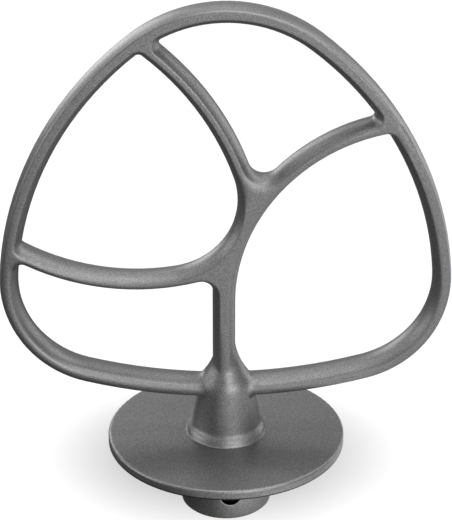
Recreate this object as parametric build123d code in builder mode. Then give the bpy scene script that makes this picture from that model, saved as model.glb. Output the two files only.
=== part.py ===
"""Flat beater of a stand mixer: a one-piece aluminium casting with a skewed three-spoke paddle.

Millimetres, +Z up. The origin is the centre of the collar's end face, the paddle lies in the
XZ plane and its front face looks along -Y.
"""
import os
from math import sqrt

from build123d import *

# Paddle: overall size and the arcs of its outline
paddle_height = 166.4
paddle_depth = 11.4
rim_width = 5.75
arch_radius = 46.6
side_radius = 106.7
side_setback = 36.5
corner_radius = 34.2
base_radius = 169.6
base_underside = 39.4

# Cast section: how far the rounded sides stand out between the crisp front and back edges
rim_crown = 1.15
window_crown = 2.1

# Stem, a little off the drive axis
stem_width = 7.1
stem_offset = -0.65

# Arched spokes: centre, radius and width of each one
left_spoke_centre = (-26.9, 151.2)
left_spoke_radius = 72.1
left_spoke_width = 5.4
upper_spoke_centre = (-77.5, 85.6)
upper_spoke_radius = 87.1
upper_spoke_width = 5.8
right_spoke_height = 71.4
right_spoke_radius = 59.0
right_spoke_width = 5.7

# Corners of the four windows
window_corner = 1.3
web_corner = 22.8
vee_corner = 5.0
stem_corner = 3.5

# Bell hub between the stem and the disc
neck_radius = 2.6
neck_height = 60.0
waist_radius = 7.3
waist_height = 46.0
shoulder_radius = 8.7
shoulder_height = 42.7
bell_radius = 11.2
foot_radius = 12.65
foot_height = 2.75
base_blend = 1.2

# Splash disc
disc_radius = 38.0
disc_thickness = 2.9
disc_round = 0.8

# Drive collar and its bayonet socket
collar_radius = 14.5
collar_length = 22.65
collar_bevel = 0.6
bore_radius = 8.0
bore_depth = 28.0
bore_lead = 0.5
pin_diameter = 5.0
pin_clearance = 0.2
key_depth = 2.6
turn_angle = 60.0
pin_hole_radius = 3.5
pin_hole_height = 8.9
pin_hole_angle = 4.5

# Sizes that follow from the ones above
side_rise = sqrt((side_radius - arch_radius) ** 2 - side_setback**2)
side_height = paddle_height - arch_radius - side_rise
base_centre = base_underside + base_radius
stem_left = stem_offset - stem_width / 2
stem_right = stem_offset + stem_width / 2
right_spoke_x = stem_right + right_spoke_radius - right_spoke_width / 2
right_spoke_centre = (right_spoke_x, right_spoke_height)
window_reach = rim_width + window_corner
disc_top = collar_length + disc_thickness
foot_top = disc_top + foot_height
key_radius = bore_radius + key_depth
key_width = pin_diameter + 2 * pin_clearance
key_height = pin_hole_height + key_width / 2
key_angle = 90 + pin_hole_angle - turn_angle


def meeting_point(first, first_reach, second, second_reach):
    """Point at two distances from two centres, to the left of the line from first to second."""
    start = Vector(*first)
    span = Vector(*second) - start
    along = (first_reach**2 - second_reach**2 + span.length**2) / (2 * span.length)
    across = sqrt(first_reach**2 - along**2)
    unit = span.normalized()
    return start + unit * along + unit.rotate(Axis.Z, 90) * across


def cut_corner(middle, radius, start, tip, end):
    """Round the sketch's corner at tip with an arc about middle that runs from start to end."""
    crest = middle + (tip - middle).normalized() * radius
    with BuildLine() as corner:
        ThreePointArc(start, crest, end)
        Polyline(end, tip * 2 - middle, start)
    make_face(corner.edges(), mode=Mode.SUBTRACT)


def round_corner(first, first_radius, second, second_radius, radius):
    """Round the corner between two circles; a radius is negative where the sketch lies outside it."""
    first_reach = abs(first_radius - radius)
    second_reach = abs(second_radius - radius)
    middle = meeting_point(first, first_reach, second, second_reach)
    start = Vector(*first) + (middle - Vector(*first)) * (abs(first_radius) / first_reach)
    end = Vector(*second) + (middle - Vector(*second)) * (abs(second_radius) / second_reach)
    tip = meeting_point(first, abs(first_radius), second, abs(second_radius))
    cut_corner(middle, radius, start, tip, end)


def draw_outline(inset):
    """Rounded triangle of two side arcs over a base arc, set in all round from the paddle's outline."""
    side = side_radius - inset
    base = base_radius - inset
    arch = arch_radius - inset
    corner = corner_radius - inset
    left_centre = (side_setback, side_height)
    right_centre = (-side_setback, side_height)
    base_middle = (0, base_centre)
    with Locations(left_centre):
        Circle(side)
    with Locations(right_centre):
        Circle(side, mode=Mode.INTERSECT)
    with Locations(base_middle):
        Circle(base, mode=Mode.INTERSECT)
    round_corner(right_centre, side, left_centre, side, arch)
    round_corner(left_centre, side, base_middle, base, corner)
    round_corner(base_middle, base, right_centre, side, corner)


def round_side(edge, crown):
    """Lens swept along a closed edge: one half is the rounded side, the other lies in the metal."""
    front = (-paddle_depth / 2, 0)
    back = (paddle_depth / 2, 0)
    with BuildSketch(Plane(origin=edge @ 0, x_dir=(0, 1, 0), z_dir=edge % 0)) as section:
        with BuildLine() as lens:
            ThreePointArc(front, (0, crown), back)
            ThreePointArc(back, (0, -crown), front)
        make_face(lens.edges())
    sweep(section.sketch, path=edge)


with BuildPart() as beater:
    # Blank of the paddle, with its rounded outer side
    with BuildSketch(Plane.XZ) as blank:
        draw_outline(rim_crown)
    extrude(amount=paddle_depth / 2, both=True)
    round_side(blank.sketch.face().outer_wire(), rim_crown)

    # Top window, above the upper and right spokes
    with BuildSketch(Plane.XZ) as top_window:
        draw_outline(window_reach)
        with Locations((0, right_spoke_height)):
            above_stem = (Align.CENTER, Align.MIN)
            Rectangle(2 * side_radius, paddle_height, align=above_stem, mode=Mode.INTERSECT)
        upper_edge = upper_spoke_radius + upper_spoke_width / 2 + window_corner
        with Locations(upper_spoke_centre):
            Circle(upper_edge, mode=Mode.SUBTRACT)
        right_edge = right_spoke_radius + right_spoke_width / 2 + window_corner
        with Locations(right_spoke_centre):
            Circle(right_edge, mode=Mode.SUBTRACT)
        vee = vee_corner - window_corner
        round_corner(upper_spoke_centre, -upper_edge, right_spoke_centre, -right_edge, vee)
        offset(amount=window_corner + window_crown)

    # Left window, between the upper and left spokes
    with BuildSketch(Plane.XZ) as left_window:
        draw_outline(window_reach)
        upper_edge = upper_spoke_radius - upper_spoke_width / 2 - window_corner
        with Locations(upper_spoke_centre):
            Circle(upper_edge, mode=Mode.INTERSECT)
        left_edge = left_spoke_radius - left_spoke_width / 2 - window_corner
        with Locations(left_spoke_centre):
            Circle(left_edge, mode=Mode.INTERSECT)
        web = web_corner - window_corner
        round_corner(left_spoke_centre, left_edge, upper_spoke_centre, upper_edge, web)
        offset(amount=window_corner + window_crown)

    # Lower window, between the left spoke, the stem and the base
    with BuildSketch(Plane.XZ) as lower_window:
        draw_outline(window_reach)
        left_edge = left_spoke_radius + left_spoke_width / 2 + window_corner
        with Locations(left_spoke_centre):
            Circle(left_edge, mode=Mode.SUBTRACT)
        stem_edge = stem_left - window_corner
        with Locations((stem_edge, left_spoke_centre[1])):
            left_of_stem = (Align.MAX, Align.MAX)
            Rectangle(2 * side_radius, 2 * paddle_height, align=left_of_stem, mode=Mode.INTERSECT)
        armpit = stem_corner - window_corner
        spoke_middle = Vector(*left_spoke_centre)
        reach = left_edge + armpit
        drop = sqrt(reach**2 - (stem_edge - armpit - spoke_middle.X) ** 2)
        middle = Vector(stem_edge - armpit, spoke_middle.Y - drop)
        start = Vector(stem_edge, middle.Y)
        end = spoke_middle + (middle - spoke_middle) * (left_edge / reach)
        tip = Vector(stem_edge, spoke_middle.Y - sqrt(left_edge**2 - (stem_edge - spoke_middle.X) ** 2))
        cut_corner(middle, armpit, start, tip, end)
        offset(amount=window_corner + window_crown)

    # Right window, under the right spoke, whose lower edge runs on into the stem
    with BuildSketch(Plane.XZ) as right_window:
        with Locations(right_spoke_centre):
            Circle(right_spoke_radius - right_spoke_width / 2 - window_corner)
        with Locations((stem_right + window_corner, right_spoke_height)):
            Rectangle(2 * side_radius, paddle_height, align=(Align.MIN, Align.MAX))
        with BuildSketch(mode=Mode.INTERSECT):
            draw_outline(window_reach)
        offset(amount=window_corner + window_crown)
    extrude(amount=paddle_depth / 2, both=True, mode=Mode.SUBTRACT)
    for window in (top_window, left_window, lower_window, right_window):
        round_side(window.sketch.face().outer_wire(), window_crown)

    # Bell hub, splash disc and collar, turned about the drive axis
    with BuildSketch(Plane.YZ) as hub:
        with BuildLine():
            Polyline(
                (0, neck_height),
                (0, 0),
                (collar_radius, 0),
                (collar_radius, collar_length),
                (disc_radius, collar_length),
                (disc_radius, disc_top),
                (foot_radius, disc_top),
            )
            RadiusArc((foot_radius, disc_top), (bell_radius, foot_top), -foot_height)
            bell = Line((bell_radius, foot_top), (shoulder_radius, shoulder_height))
            shoulder = TangentArc(bell @ 1, (waist_radius, waist_height), tangent=bell % 1)
            neck = TangentArc(shoulder @ 1, (neck_radius, neck_height), tangent=shoulder % 1)
            Line(neck @ 1, (0, neck_height))
        make_face()
        fillet(hub.vertices().group_by(Axis.X)[-1].sort_by(Axis.Y)[-1], disc_round)
        chamfer(hub.vertices().group_by(Axis.Y)[0].sort_by(Axis.X)[-1], collar_bevel)
    revolve(axis=Axis.Z)

    # Blends where the two halves of the base run into the bell
    seams = beater.edges(Select.NEW)
    fillet(seams.filter_by_position(Axis.Z, base_underside, waist_height), base_blend)

    # Bayonet socket: blind bore, two key slots, and pockets that turn to the pin holes
    with BuildSketch(Plane.XY):
        Circle(bore_radius)
    extrude(amount=bore_depth, mode=Mode.SUBTRACT)
    mouth = beater.edges().filter_by(GeomType.CIRCLE).group_by(Axis.Z)[0].sort_by(SortBy.RADIUS)[0]
    chamfer(mouth, bore_lead)
    with BuildSketch(Plane.XY.rotated((0, 0, key_angle))):
        Rectangle(2 * key_radius, key_width)
    extrude(amount=key_height, mode=Mode.SUBTRACT)
    back_key = Plane.XZ.rotated((0, 0, key_angle))
    front_key = Plane.XZ.rotated((0, 0, key_angle + 180))
    with BuildSketch(back_key, front_key):
        with Locations((key_radius / 2, pin_hole_height)):
            Rectangle(key_radius, key_width)
    revolve(axis=Axis.Z, revolution_arc=turn_angle, mode=Mode.SUBTRACT)
    with BuildSketch(Plane.XZ.rotated((0, 0, pin_hole_angle))):
        with Locations((0, pin_hole_height)):
            Circle(pin_hole_radius)
    extrude(amount=collar_radius, both=True, mode=Mode.SUBTRACT)

beater.part.label = "beater"
os.makedirs("parts", exist_ok=True)
export_step(beater.part, "parts/beater.step")
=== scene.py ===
"""Looks of the coated flat beater: satin metallic coat, pale floor and soft studio light."""

from math import cos, radians, sin

import bmesh
import bpy
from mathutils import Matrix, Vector

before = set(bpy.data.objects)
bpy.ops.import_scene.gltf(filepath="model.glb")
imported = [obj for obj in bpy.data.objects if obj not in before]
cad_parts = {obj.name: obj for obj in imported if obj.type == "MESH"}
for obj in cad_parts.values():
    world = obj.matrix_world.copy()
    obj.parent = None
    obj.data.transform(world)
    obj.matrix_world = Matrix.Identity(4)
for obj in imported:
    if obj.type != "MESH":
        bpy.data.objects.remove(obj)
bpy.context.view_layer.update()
scene = bpy.context.scene
scene.view_settings.view_transform = "Standard"

# Greys of the coat: between and on the flakes, a painted edge highlight, and painted shade in the pin hole
# and under the disc
DARK_COAT = (0.105, 0.105, 0.107, 1.0)
LIGHT_COAT = (0.245, 0.245, 0.247, 1.0)
EDGE_HIGHLIGHT_COAT = (0.21, 0.21, 0.212, 1.0)
PAINTED_SHADE_COAT = (0.012, 0.012, 0.012, 1.0)

# Surface of the coat: roughness between and on the flakes, tone of its dark and light clouds, and how far
# the softened normal agrees with the face's own where the painted edge highlight begins and where it is full
COAT_METALLIC = 0.85
COAT_ROUGHNESS = (0.41, 0.35)
TONE_CHANGE = (0.95, 1.05)
EDGE_LEAN = (0.99, 0.8)
BUMP_STRENGTH = 0.2
BUMP_DISTANCE = 0.00008

# Grain of the coat: noises in waves per metre, and the noise values that are spread from 0 to 1
FINE_GRAIN = 5200.0
COARSE_GRAIN = 2600.0
CLOUD_GRAIN = 42.0
FLAKE_SPREAD = (0.68, 1.32)
CLOUD_SPREAD = (0.3, 0.7)
WHOLE = (0.0, 1.0)

# How far edges are softened, in metres: all over, and in the zones below
CRISP_EDGE = 0.0009
FLARE_EDGE = 0.004
FOOT_EDGE = 0.0022
VEE_EDGE = 0.0045
WINDOW_EDGE = 0.0028
LOWER_EDGE = 0.0026
BEVEL_SAMPLES = 8

# Where the stem flares into the bell hub. Each border of a zone is its outer and its inner value.
FLARE_TOP = (0.066, 0.054)
FLARE_BOTTOM = (0.038, 0.043)
FLARE_REACH = (0.015, 0.010)

# Where the hub flares into its foot
FOOT_TOP = (0.031, 0.029)
FOOT_BOTTOM = (0.0257, 0.0263)
FOOT_REACH = (0.0145, 0.0135)

# Vee between the upper and the right spoke
VEE_MIDDLE = Vector((0.0106, 0.0, 0.1116))
VEE_REACH = (0.008, 0.004)

# Edge of the right window along the stem and the right spoke, as distance from the spoke's centre
RIGHT_SPOKE_CENTRE = Vector((0.05905, 0.0, 0.0714))
WINDOW_OUTSIDE = (0.060, 0.0588)
WINDOW_INSIDE = (0.050, 0.054)
WINDOW_BOTTOM = (0.058, 0.064)

# Lower half of the paddle, apart from the hub
LOWER_TOP = (0.120, 0.075)
LOWER_BOTTOM = (0.036, 0.041)
LOWER_REACH = (0.012, 0.016)

# Painted shade: near black in the pin hole inside the collar and along the lower edge of the disc
PIN_HOLE_TOP = (0.0226, 0.0222)
PIN_HOLE_REACH = (0.01448, 0.0143)
DISC_EDGE_TOP = (0.0232, 0.0229)
DISC_EDGE_REACH = (0.030, 0.033)

# Floor, and its glow in the metal, a painted reflection: a sweep to the front right and a brighter patch by
# the collar
FLOOR_HALF_WIDTH = 4.0
FLOOR_GREY = (0.1, 0.1, 0.1, 1.0)
SWEEP_DIRECTION = (0.866, -0.5, 0.0)
SWEEP_REACH = (-0.01, 0.05)
SWEEP_LEVELS = (0.03, 1.0)
PATCH_MIDDLE = (0.024, -0.036, 0.0)
PATCH_REACH = (0.036, 0.012)
PATCH_LEVELS = (0.0, 1.3)

# Soft pool of shade painted on the floor, narrower from front to back
SHADE_SQUASH = (1.0, 1.25, 1.0)
SHADE_MIDDLE = (0.0, 0.0375, 0.0)
SHADE_REACH = (0.034, 0.064)
SHADE_LEVELS = (0.55, 0.94)

# Lamps and camera: places in metres, angles in degrees, lens and sensor in millimetres
PADDLE_MIDDLE = Vector((0.0, 0.0, 0.09))
LAMP_DISTANCE = 1.0
CAMERA_PLACE = (-0.01154, -0.44066, 0.285)
CAMERA_PITCH = 65.62
CAMERA_TURN = -1.5
CAMERA_LENS = 108.69
CAMERA_SENSOR = 36.0
CAMERA_NEAR = 0.01

# Node editor: nodes stand in one row. A Mix node's colour sockets come after its number and vector ones.
NODE_SPACING = 220
MIX_COLOUR_INPUTS = (0, 6, 7)
MIX_COLOUR_OUTPUT = 2


# Small helpers for node trees
def add_node(tree, kind, **settings):
    node = tree.nodes.new(kind)
    node.location = (NODE_SPACING * len(tree.nodes), 0)
    for name, value in settings.items():
        setattr(node, name, value)
    return node


def feed(socket, value):
    if isinstance(value, bpy.types.NodeSocket):
        socket.id_data.links.new(value, socket)
    else:
        socket.default_value = value


def set_inputs(node, **values):
    for name, value in values.items():
        feed(node.inputs[name.replace("_", " ")], value)


def math_node(tree, operation, first, second):
    node = add_node(tree, "ShaderNodeMath", operation=operation)
    feed(node.inputs[0], first)
    feed(node.inputs[1], second)
    return node.outputs["Value"]


def vector_node(tree, operation, *vectors):
    node = add_node(tree, "ShaderNodeVectorMath", operation=operation)
    for socket, value in zip(node.inputs, vectors):
        feed(socket, value)
    gives_number = operation in ("DISTANCE", "DOT_PRODUCT", "LENGTH")
    return node.outputs["Value" if gives_number else "Vector"]


def blend_colours(tree, factor, first, second):
    node = add_node(tree, "ShaderNodeMix", data_type="RGBA")
    for index, value in zip(MIX_COLOUR_INPUTS, (factor, first, second)):
        feed(node.inputs[index], value)
    return node.outputs[MIX_COLOUR_OUTPUT]


def stretch(tree, value, old, new):
    node = add_node(tree, "ShaderNodeMapRange")
    set_inputs(node, Value=value, From_Min=old[0], From_Max=old[1], To_Min=new[0], To_Max=new[1])
    return node.outputs["Result"]


# Mask that is 1 inside a zone and fades to 0 across each of its borders
def zone(tree, *borders):
    mask = 1.0
    for value, border in borders:
        mask = math_node(tree, "MULTIPLY", stretch(tree, value, border, WHOLE), mask)
    return mask


# 1 for rays that metal or glass sends on, and 0 for the rest
def shiny_rays(tree, path):
    return math_node(tree, "ADD", path.outputs["Is Glossy Ray"], path.outputs["Is Transmission Ray"])


# New material with an empty node tree
def new_material(name):
    material = bpy.data.materials.new(name)
    material.use_nodes = True
    material.node_tree.nodes.clear()
    return material


# Speckled grain of the coat: flakes, their height, and slow cloudiness from the casting under it
def coat_grain_group():
    tree = bpy.data.node_groups.new("coat_grain", "ShaderNodeTree")
    tree.interface.new_socket("Coordinates", in_out="INPUT", socket_type="NodeSocketVector")
    for name in ("Flakes", "Cloud", "Height"):
        tree.interface.new_socket(name, in_out="OUTPUT", socket_type="NodeSocketFloat")
    start = add_node(tree, "NodeGroupInput")

    def noise(scale, detail, roughness):
        node = add_node(tree, "ShaderNodeTexNoise")
        set_inputs(node, Vector=start.outputs["Coordinates"], Scale=scale, Detail=detail, Roughness=roughness)
        return node.outputs[0]

    fine = noise(FINE_GRAIN, detail=1.0, roughness=0.6)
    coarse = noise(COARSE_GRAIN, detail=1.0, roughness=0.5)
    slow = noise(CLOUD_GRAIN, detail=3.0, roughness=0.55)
    grain = math_node(tree, "ADD", fine, coarse)
    mean_grain = math_node(tree, "MULTIPLY", grain, 0.5)
    set_inputs(
        add_node(tree, "NodeGroupOutput"),
        Flakes=stretch(tree, grain, FLAKE_SPREAD, WHOLE),
        Cloud=stretch(tree, slow, CLOUD_SPREAD, WHOLE),
        Height=mean_grain,
    )
    return tree


# How far the edges are softened: little all over, more where the stem flares into the bell hub, where the
# hub flares into its foot, in the vee, along the right window's edge and on the lower half of the paddle
def edge_softness(tree, place, height, reach):
    front = vector_node(tree, "MULTIPLY", place, (1.0, 0.0, 1.0))
    from_vee = vector_node(tree, "DISTANCE", front, VEE_MIDDLE)
    # Below the spoke's centre only the distance across counts, as the stem's edge is straight there
    lifted = vector_node(tree, "MAXIMUM", front, (-1.0, 0.0, RIGHT_SPOKE_CENTRE.z))
    from_spoke = vector_node(tree, "DISTANCE", lifted, RIGHT_SPOKE_CENTRE)

    flare = zone(tree, (height, FLARE_TOP), (height, FLARE_BOTTOM), (reach, FLARE_REACH))
    foot = zone(tree, (height, FOOT_TOP), (height, FOOT_BOTTOM), (reach, FOOT_REACH))
    vee = zone(tree, (from_vee, VEE_REACH))
    window = zone(tree, (from_spoke, WINDOW_OUTSIDE), (from_spoke, WINDOW_INSIDE), (height, WINDOW_BOTTOM))
    lower = zone(tree, (height, LOWER_TOP), (height, LOWER_BOTTOM), (reach, LOWER_REACH))

    softness = CRISP_EDGE
    zones = (flare, foot, vee, window, lower)
    radii = (FLARE_EDGE, FOOT_EDGE, VEE_EDGE, WINDOW_EDGE, LOWER_EDGE)
    for mask, radius in zip(zones, radii):
        softness = math_node(tree, "MAXIMUM", stretch(tree, mask, WHOLE, (CRISP_EDGE, radius)), softness)
    return softness


# Painted shade: near black in the pin hole in the collar and along the lower edge of the disc, where shade
# falls
def painted_shade_in_recesses(tree, height, reach):
    pin_hole = zone(tree, (height, PIN_HOLE_TOP), (reach, PIN_HOLE_REACH))
    disc_edge = zone(tree, (height, DISC_EDGE_TOP), (reach, DISC_EDGE_REACH))
    return math_node(tree, "MAXIMUM", pin_hole, disc_edge)


# Dark grey satin coat with metal flakes, a little brighter along the crisp edges as a painted highlight
def coated_casting(grain):
    material = new_material("coated_casting")
    tree = material.node_tree
    place = add_node(tree, "ShaderNodeTexCoord").outputs["Object"]
    axes = add_node(tree, "ShaderNodeSeparateXYZ")
    set_inputs(axes, Vector=place)
    height = axes.outputs["Z"]
    reach = vector_node(tree, "LENGTH", vector_node(tree, "MULTIPLY", place, (1.0, 1.0, 0.0)))
    speckle = add_node(tree, "ShaderNodeGroup", node_tree=grain)
    set_inputs(speckle, Coordinates=place)

    edges = add_node(tree, "ShaderNodeBevel", samples=BEVEL_SAMPLES)
    set_inputs(edges, Radius=edge_softness(tree, place, height, reach))
    softened = edges.outputs["Normal"]
    bumps = add_node(tree, "ShaderNodeBump")
    set_inputs(bumps, Strength=BUMP_STRENGTH, Distance=BUMP_DISTANCE)
    set_inputs(bumps, Height=speckle.outputs["Height"], Normal=softened)

    faces = add_node(tree, "ShaderNodeNewGeometry")
    lean = vector_node(tree, "DOT_PRODUCT", softened, faces.outputs["Normal"])
    edge_highlight_mask = stretch(tree, lean, EDGE_LEAN, WHOLE)
    tone = add_node(tree, "ShaderNodeHueSaturation")
    set_inputs(
        tone,
        Color=blend_colours(tree, speckle.outputs["Flakes"], DARK_COAT, LIGHT_COAT),
        Value=stretch(tree, speckle.outputs["Cloud"], WHOLE, TONE_CHANGE),
    )
    # Lighter grey painted along the edges as a highlight, where the softened normal leans away from the
    # face's own
    edge_highlighted = blend_colours(tree, edge_highlight_mask, tone.outputs["Color"], EDGE_HIGHLIGHT_COAT)
    coat = add_node(tree, "ShaderNodeBsdfPrincipled")
    set_inputs(
        coat,
        # Near black painted as shade in the pin hole and under the disc's rim
        Base_Color=blend_colours(tree, painted_shade_in_recesses(tree, height, reach), edge_highlighted, PAINTED_SHADE_COAT),
        Metallic=COAT_METALLIC,
        Roughness=stretch(tree, speckle.outputs["Flakes"], WHOLE, COAT_ROUGHNESS),
        Normal=bumps.outputs["Normal"],
    )
    set_inputs(add_node(tree, "ShaderNodeOutputMaterial"), Surface=coat.outputs["BSDF"])
    return material


# Pale floor with a glow of its own: white in the picture round a soft pool of painted shade, and in the metal
# a painted reflection, bright to the right and in front of the object and dim behind it
def floor_paint():
    material = new_material("pale_floor")
    tree = material.node_tree
    place = add_node(tree, "ShaderNodeTexCoord").outputs["Object"]
    path = add_node(tree, "ShaderNodeLightPath")

    # Painted reflection: the floor glows only in the metal, brighter to the front right and in a patch by the
    # collar
    sweep = stretch(tree, vector_node(tree, "DOT_PRODUCT", place, SWEEP_DIRECTION), SWEEP_REACH, SWEEP_LEVELS)
    patch = stretch(tree, vector_node(tree, "DISTANCE", place, PATCH_MIDDLE), PATCH_REACH, PATCH_LEVELS)
    mirrored = math_node(tree, "ADD", sweep, patch)
    in_metal = math_node(tree, "MULTIPLY", shiny_rays(tree, path), mirrored)

    # Painted shade: the floor's glow in the picture dims in a soft pool round the paddle
    squashed = vector_node(tree, "MULTIPLY", place, SHADE_SQUASH)
    from_shade = vector_node(tree, "DISTANCE", squashed, SHADE_MIDDLE)
    seen = stretch(tree, from_shade, SHADE_REACH, SHADE_LEVELS)
    in_picture = math_node(tree, "MULTIPLY", path.outputs["Is Camera Ray"], seen)

    matt = add_node(tree, "ShaderNodeBsdfDiffuse")
    set_inputs(matt, Color=FLOOR_GREY)
    glow = add_node(tree, "ShaderNodeEmission")
    set_inputs(glow, Strength=math_node(tree, "ADD", in_metal, in_picture))
    both = add_node(tree, "ShaderNodeAddShader")
    feed(both.inputs[0], matt.outputs["BSDF"])
    feed(both.inputs[1], glow.outputs["Emission"])
    set_inputs(add_node(tree, "ShaderNodeOutputMaterial"), Surface=both.outputs["Shader"])
    return material


def make_floor():
    mesh = bpy.data.meshes.new("floor")
    shape = bmesh.new()
    bmesh.ops.create_grid(shape, x_segments=1, y_segments=1, size=FLOOR_HALF_WIDTH)
    shape.to_mesh(mesh)
    shape.free()
    floor = bpy.data.objects.new("floor", mesh)
    scene.collection.objects.link(floor)
    mesh.materials.append(floor_paint())


# White surroundings: their level in the picture, in the metal, and as light on the object
def make_sky(seen, mirrored, thrown):
    world = bpy.data.worlds.new("studio")
    scene.world = world
    world.use_nodes = True
    tree = world.node_tree
    tree.nodes.clear()
    path = add_node(tree, "ShaderNodeLightPath")
    level = stretch(tree, shiny_rays(tree, path), WHOLE, (thrown, mirrored))
    extra = math_node(tree, "MULTIPLY", path.outputs["Is Camera Ray"], seen - thrown)
    sky = add_node(tree, "ShaderNodeBackground")
    set_inputs(sky, Color=(1.0, 1.0, 1.0, 1.0), Strength=math_node(tree, "ADD", level, extra))
    set_inputs(add_node(tree, "ShaderNodeOutputWorld"), Surface=sky.outputs["Background"])


# Soft box that faces the paddle's middle: degrees to the right of the front, and above the floor
def add_softbox(name, turn, rise, width, height, watts):
    along_floor = cos(radians(rise))
    out = Vector((along_floor * sin(radians(turn)), -along_floor * cos(radians(turn)), sin(radians(rise))))
    lamp = bpy.data.lights.new(name, "AREA")
    lamp.shape = "RECTANGLE"
    lamp.size = width
    lamp.size_y = height
    lamp.energy = watts
    holder = bpy.data.objects.new(name, lamp)
    scene.collection.objects.link(holder)
    holder.location = PADDLE_MIDDLE + LAMP_DISTANCE * out
    holder.rotation_euler = (-out).to_track_quat("-Z", "Y").to_euler()


def add_camera():
    camera = bpy.data.cameras.new("photo_camera")
    camera.sensor_width = CAMERA_SENSOR
    camera.lens = CAMERA_LENS
    camera.clip_start = CAMERA_NEAR
    holder = bpy.data.objects.new("photo_camera", camera)
    scene.collection.objects.link(holder)
    holder.location = CAMERA_PLACE
    holder.rotation_euler = (radians(CAMERA_PITCH), 0.0, radians(CAMERA_TURN))
    scene.camera = holder


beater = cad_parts["beater"]
coat = coated_casting(coat_grain_group())
beater.data.materials.clear()
beater.data.materials.append(coat)

make_floor()
make_sky(seen=1.0, mirrored=0.52, thrown=0.2)
add_softbox("top_box", turn=90, rise=86, width=0.7, height=0.7, watts=5.8)
add_softbox("right_high_box", turn=60, rise=55, width=0.5, height=0.5, watts=1.8)
add_softbox("right_box", turn=115, rise=44, width=0.6, height=0.6, watts=2.6)
add_softbox("right_low_box", turn=125, rise=9, width=0.6, height=0.4, watts=1.1)
add_softbox("front_box", turn=18, rise=30, width=0.4, height=0.4, watts=1.7)
add_softbox("front_low_box", turn=25, rise=9, width=0.9, height=0.4, watts=3.6)
add_softbox("left_high_box", turn=-100, rise=52, width=0.5, height=0.5, watts=1.7)
add_softbox("left_low_box", turn=-90, rise=14, width=0.9, height=0.5, watts=3.2)
add_softbox("left_back_box", turn=-152, rise=19, width=0.4, height=0.7, watts=2.2)
add_softbox("back_box", turn=180, rise=50, width=0.5, height=0.5, watts=0.8)
add_camera()
